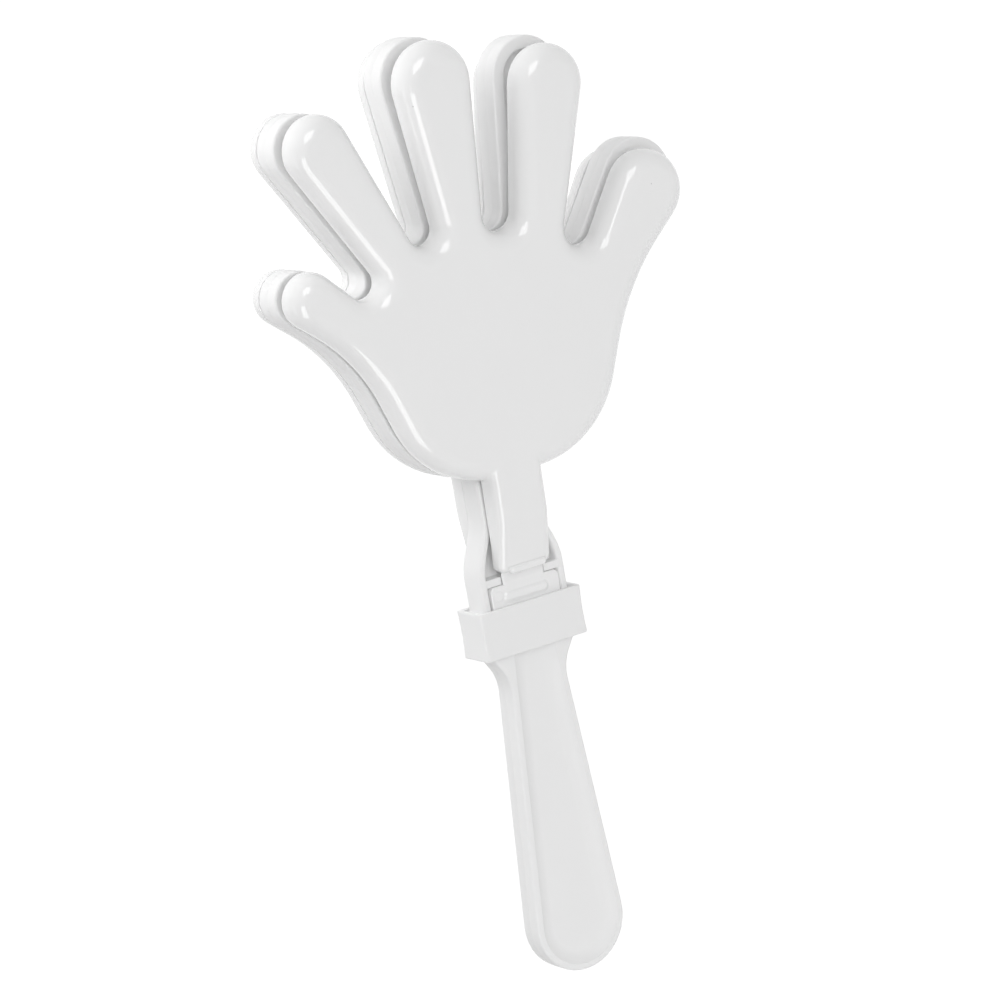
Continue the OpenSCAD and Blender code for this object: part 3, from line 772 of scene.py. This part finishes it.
def shell_section():
    """Depth of each ring above the shell's back, and its inset on the hand and on the wrist: from
    the hollow's floor down its wall to the back, round the back's edge, and up the outside over
    its round edge to the palm. The wrist's edges are sharper than the hand's."""
    turn, small = np.sin(quarter(22)), quarter(5)
    straight = SHELL_DEPTH - SHELL_EDGE_R
    floor = SHELL_DEPTH - SHELL_WALL
    hollow_r = SHELL_EDGE_R - SHELL_WALL
    outer = np.concatenate([BACK_EDGE_R * (1 - np.cos(small)), straight + SHELL_EDGE_R * turn])
    inner = np.concatenate([[0.0, BACK_LIP], straight + hollow_r * turn[::2], [floor]])[::-1]
    insets = []
    for outer_r, inner_r in ((SHELL_EDGE_R, hollow_r), (WRIST_EDGE_R, WRIST_HOLLOW_R)):
        inside = SHELL_WALL + round_over(inner, floor, inner_r)
        inside[0] += SHELL_FLAT
        outside = round_over(outer, SHELL_DEPTH, outer_r)
        outside[:len(small)] += BACK_EDGE_R * (1 - np.sin(small))
        insets.append(np.concatenate([inside, outside, [outer_r + SHELL_FLAT]]))
    return np.concatenate([inner, outer, [SHELL_DEPTH]]), *insets


def shell_ways(normal):
    """The way in which each point of the outline moves for the hand's inset, and for the wrist's.
    On the hand the first is the inward normal, and on the wrist the second is, less steep at the
    foot. In the corners between them the first is upwards and the second sideways, and along the
    heels the first turns from upwards to the normal."""
    circle, step = np.divmod(np.arange(len(normal)), PER_CIRCLE)
    on_run = step > ARC_STEPS
    on_corner = ((circle == RIGHT_CORNER) | (circle == LEFT_CORNER)) & ~on_run
    on_foot = (circle == RIGHT_FOOT) | (circle == LEFT_FOOT)
    on_wrist = ((circle == RIGHT_CORNER) & on_run) | on_foot
    along_heel = np.where(circle == LEFT_HEEL, step, ARC_STEPS)
    along_heel = np.where(circle == RIGHT_HEEL, ARC_STEPS - step, along_heel)
    along_heel = np.where(on_corner | ((circle == LEFT_CORNER) & on_run), 0, along_heel)
    upwards = np.where(on_wrist, 0, 1 - np.clip(along_heel / HEEL_BLEND, 0, 1))[:, None]
    hand_way = np.where(on_wrist[:, None], 0, -normal) * (1 - upwards) + np.array([0, 1]) * upwards
    wrist_way = np.where(on_wrist[:, None], -normal * [1, FOOT_SQUASH], 0)
    wrist_way[on_corner, 0] = np.where(circle[on_corner] == LEFT_CORNER, 1, -1)
    return hand_way, wrist_way


def wrist_depths(v):
    """Depth of the hand's back and front at a height: constant on the palm; on the wrist the
    front slopes back to the foot below a soft bend, and the back steps in to the strap."""
    foot = -WRIST_LEN
    over_bend = foot + SLOPE_H - v
    below = (np.sqrt(over_bend ** 2 + SLOPE_SOFT ** 2) + over_bend) / 2
    front = HAND_BACK + SHELL_DEPTH - below * (HAND_BACK + SHELL_DEPTH - FOOT_FRONT) / SLOPE_H
    step_in = np.clip((foot + SLOPE_H / 2 - v) / (SLOPE_H / 2), 0, 1)
    return HAND_BACK - (HAND_BACK - FOOT_BACK) * step_in, front


def outer_hand():
    """Rings from the hollow's floor back over the rim and round to the palm: each is the outline
    moved by the hand's inset and the wrist's, each in its own way. Rungs across the fingers and
    the wrist, a face at the foot and a fan over the palm close the hollow's floor and the palm."""
    edge, normal = outline(SHELL_CIRCLES)
    hand_way, wrist_way = shell_ways(normal)
    depth, hand_in, wrist_in = shell_section()
    by_hand = hand_in[:, None, None] * hand_way[None]
    by_wrist = wrist_in[:, None, None] * wrist_way[None]
    ring = edge[None] + by_hand + by_wrist
    back, front = wrist_depths(ring[..., 1])
    y = -(back + depth[:, None] * (front - back) / SHELL_DEPTH)
    points = np.stack([ring[..., 0], y, ring[..., 1] + HEEL_Z], axis=2).reshape(-1, 3)
    middles = [[0, -HAND_BACK - depth[end], HEEL_Z + PALM_UP] for end in (0, -1)]
    count = len(edge)
    foot = RIGHT_FOOT * PER_CIRCLE + ARC_STEPS + (RUN_STEPS + 1) // 2
    half_foot = (RUN_STEPS + 3) // 2
    wrist = ladder(foot, half_foot, middle_of(LEFT_CORNER) - foot, count)
    foot_end = np.arange(foot + half_foot, foot - half_foot - 1, -1)[None]
    roots = np.array([middle_of(c) for c in VALLEYS])
    right_heel = np.arange(roots[-1] + 1, middle_of(RIGHT_CORNER) + 1)
    left_heel = np.arange(middle_of(LEFT_CORNER), count)
    palm = np.concatenate([roots, right_heel, left_heel, np.arange(0, roots[0] + 1)])
    across = finger_faces(0, count) + [wrist, foot_end]
    return np.concatenate([points, middles]), hand_faces(across, palm, len(depth), count)


def foot_rib():
    """A bar with round ends along the wrist's foot: a circle carried along x as the parameter goes
    from -2 to 2; beyond -1 and 1 it is drawn in as a quarter circle."""
    along = np.linspace(-2, 2, 33)[:, None]
    turn = np.radians(np.linspace(0, 360, 32, endpoint=False))[None]
    over = np.radians(np.clip((np.abs(along) - 1) * 90, 0, RIB_END_TURN)) * np.sign(along)
    x = (RIB_HALF_LEN - RIB_R) * np.clip(along, -1, 1) + RIB_R * np.sin(over)
    radius = RIB_R * np.cos(over)
    y = -(FOOT_FRONT + RIB_PROUD - RIB_R) + radius * np.cos(turn)
    z = WRIST_BOTTOM + RIB_R / 2 + radius * np.sin(turn)
    return capped(np.stack(np.broadcast_arrays(x, y, z), axis=2), clockwise=False)


closed_hand = joined(outer_hand(), foot_rib())
open_hand = (swung(closed_hand[0], FRONT_OPEN), closed_hand[1])
for name, solid in (("front", open_hand), ("rear", rear_of(closed_hand))):
    shell_piece = add_piece(name + "_hand_shell", *solid, clapper_plastic)
    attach(shell_piece, name + "_clapper")
    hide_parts(name + "_hand")

# Collar: a short rectangular sleeve that slides up the handle and locks both tabs in their
# pockets. White plastic, moulded by itself, with slightly waisted sides and softened edges.
COLLAR_X, COLLAR_Y = (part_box("locking_collar")[1][i] / MM for i in (0, 1))
COLLAR_WALL = 1.3
COLLAR_CORNER_R = 1.0
COLLAR_HOLE_R = 0.3
COLLAR_EDGE_R = 0.35
COLLAR_WAIST = 0.25
collar_plastic = plastic("white_collar_moulding", tone=(0.87, 0.87, 0.87), cloud=0.02,
                         roughness=0.42, mirror=0.35, peel=1.2, specks=0.2)


def collar():
    """The sleeve's wall section carried round a rectangle with round corners; the outer wall is
    drawn in at mid-height by half a sine wave, and the hole has sharper corners of its own."""
    hole_x, hole_y = COLLAR_X - COLLAR_WALL, COLLAR_Y - COLLAR_WALL
    edge, normal = outline(round_box(COLLAR_X, -COLLAR_Y, COLLAR_Y, COLLAR_CORNER_R))
    hole, _ = outline(round_box(hole_x, -hole_y, hole_y, COLLAR_HOLE_R))
    turn = quarter(6)
    r = COLLAR_EDGE_R
    rise = np.linspace(0, 1, 17)[1:-1]
    low = np.stack([r * (1 - np.sin(turn)), COLLAR_LOW + r * (1 - np.cos(turn))], axis=1)
    wall = np.stack([COLLAR_WAIST * np.sin(np.pi * rise),
                     COLLAR_LOW + r + (COLLAR_HIGH - COLLAR_LOW - 2 * r) * rise], axis=1)
    high = np.stack([r * (1 - np.cos(turn)), COLLAR_HIGH - r + r * np.sin(turn)], axis=1)
    inner_low = low[::-1] * [-1, 1] + [COLLAR_WALL, 0]
    inner_high = high[::-1] * [-1, 1] + [COLLAR_WALL, 0]
    profile = np.concatenate([low, wall, high, inner_high, inner_low])
    inset = profile[:, :1, None]
    outside = edge[None] - inset * normal[None]
    inside = hole[None] + (COLLAR_WALL - inset) * normal[None]
    ring = np.where(inset > COLLAR_WALL / 2, inside, outside)
    count, rings = len(edge), len(profile)
    z = np.repeat(profile[:, 1:], count, axis=1)
    points = np.stack([ring[..., 0], ring[..., 1], z], axis=2).reshape(-1, 3)
    return points, [np.mod(bands(rings + 1, count), rings * count)]


collar_piece = add_piece("collar_sleeve", *collar(), collar_plastic)
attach(collar_piece, "collar")
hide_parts("locking_collar")

# Studio: a pale floor well below the grip, and white all round. Reflections see only the cards,
# which draw the highlights, and matt surfaces see only the panels, which light all sides evenly.
# The camera stands at the photograph's angle, rolled so that the clapper leans to the left.
PANEL = (1.05, 1.05)
# A lamp's name, its angles round and up, its distance and size in metres, its watts, and its use.
LAMPS = (
    ("upper_card", (-9, 34), 1.4, (0.72, 0.66), 6.4, "mirrored"),
    ("lower_card", (-33, -28), 0.8, (0.34, 0.65), 2.8, "mirrored"),
    ("left_card", (-82, -18), 1.0, (0.10, 0.60), 0.5, "mirrored"),
    ("front_panel", (-21, 14), 1.5, PANEL, 7.1, "fill"),
    ("right_panel", (60, 36), 1.5, PANEL, 0.8, "fill"),
    ("left_panel", (-112, 46), 0.5, (0.36, 0.36), 0.9, "fill"),
    ("low_panel", (20, -60), 0.8, (0.56, 0.56), 0.96, "fill"),
    ("back_left_panel", (-147, 12), 1.5, PANEL, 3.3, "fill"),
    ("back_panel", (175, 20), 1.5, PANEL, 0.4, "fill"),
    ("back_right_panel", (112, 15), 1.5, PANEL, 4.2, "fill"),
)
FLOOR_Z = -0.6
FLOOR_REACH = 30.0
TARGET = Vector((-0.0005, 0, 0.0948))
AZIMUTH, ELEVATION = -30.5, 11.8
ROLL = math.radians(9.8)
DISTANCE = 1.188
LENS = 148.2
scene = bpy.context.scene
scene.view_settings.view_transform = "Standard"
# Many bounces carry light into the narrow gaps between the hands.
scene.cycles.max_bounces = 16
scene.cycles.diffuse_bounces = 12


def white_backdrop(tree, surface, lit, white):
    """What the camera, reflections and clear parts see is the white shader; all else sees the lit
    one."""
    nodes, link = tree.nodes, tree.links.new
    path = nodes.new("ShaderNodeLightPath")
    seen = path.outputs["Is Camera Ray"]
    for ray in ("Is Glossy Ray", "Is Transmission Ray"):
        either = nodes.new("ShaderNodeMath")
        either.operation = "MAXIMUM"
        link(seen, either.inputs[0])
        link(path.outputs[ray], either.inputs[1])
        seen = either.outputs["Value"]
    mix = nodes.new("ShaderNodeMixShader")
    link(seen, mix.inputs["Fac"])
    link(lit, mix.inputs[1])
    link(white, mix.inputs[2])
    link(mix.outputs["Shader"], surface)


def floor_material():
    """Pale matt floor: mostly white to the camera, with the light it receives on top, so that a
    shadow still shows on it."""
    material = bpy.data.materials.new("pale_floor")
    material.use_nodes = True
    tree = material.node_tree
    nodes, link = tree.nodes, tree.links.new
    nodes.remove(nodes["Principled BSDF"])
    matt = nodes.new("ShaderNodeBsdfDiffuse")
    matt.inputs["Color"].default_value = (0.8, 0.8, 0.8, 1)
    shaded = nodes.new("ShaderNodeBsdfDiffuse")
    shaded.inputs["Color"].default_value = (0.25, 0.25, 0.25, 1)
    glow = nodes.new("ShaderNodeEmission")
    glow.inputs["Color"].default_value = (1, 1, 1, 1)
    glow.inputs["Strength"].default_value = 0.92
    both = nodes.new("ShaderNodeAddShader")
    link(shaded.outputs["BSDF"], both.inputs[0])
    link(glow.outputs["Emission"], both.inputs[1])
    surface = nodes["Material Output"].inputs["Surface"]
    white_backdrop(tree, surface, matt.outputs["BSDF"], both.outputs["Shader"])
    return material


floor_mesh = bpy.data.meshes.new("floor")
floor_corners = [(x * FLOOR_REACH, y * FLOOR_REACH, FLOOR_Z)
                 for x, y in ((-1, -1), (1, -1), (1, 1), (-1, 1))]
floor_mesh.from_pydata(floor_corners, [], [(0, 1, 2, 3)])
floor_mesh.materials.append(floor_material())
floor = bpy.data.objects.new("floor", floor_mesh)
scene.collection.objects.link(floor)

world = bpy.data.worlds.new("studio")
scene.world = world
world.use_nodes = True
sky = world.node_tree
ambient = sky.nodes["Background"]
ambient.inputs["Color"].default_value = (1, 1, 1, 1)
ambient.inputs["Strength"].default_value = 0.55
white = sky.nodes.new("ShaderNodeBackground")
white.inputs["Color"].default_value = (1, 1, 1, 1)
white.inputs["Strength"].default_value = 1.0
white_backdrop(sky, sky.nodes["World Output"].inputs["Surface"], ambient.outputs["Background"],
               white.outputs["Background"])


def direction(azimuth, elevation):
    """Unit vector at an angle round from the front, positive to the right, and an angle upwards."""
    round_, up = math.radians(azimuth), math.radians(elevation)
    return Vector((math.sin(round_) * math.cos(up), -math.cos(round_) * math.cos(up), math.sin(up)))


for name, way, distance, size, power, role in LAMPS:
    lamp = bpy.data.lights.new(name, "AREA")
    lamp.shape = "RECTANGLE"
    lamp.size, lamp.size_y = size
    lamp.energy = power
    lamp_object = bpy.data.objects.new(name, lamp)
    lamp_object.location = TARGET + direction(*way) * distance
    lamp_object.rotation_euler = direction(*way).to_track_quat("Z", "Y").to_euler()
    lamp_object.visible_camera = False
    lamp_object.visible_glossy = role == "mirrored"
    lamp_object.visible_diffuse = role == "fill"
    scene.collection.objects.link(lamp_object)

toward = direction(AZIMUTH, ELEVATION)
right = Vector((math.cos(math.radians(AZIMUTH)), math.sin(math.radians(AZIMUTH)), 0))
up = toward.cross(right)
view_right = right * math.cos(ROLL) - up * math.sin(ROLL)
view_up = right * math.sin(ROLL) + up * math.cos(ROLL)
camera_data = bpy.data.cameras.new("camera")
camera_data.lens = LENS
camera_data.sensor_width = 36
camera_data.clip_end = 100
camera = bpy.data.objects.new("camera", camera_data)
turned = Matrix((view_right, view_up, toward)).transposed().to_4x4()
camera.matrix_world = Matrix.Translation(TARGET + toward * DISTANCE) @ turned
scene.collection.objects.link(camera)
scene.camera = camera
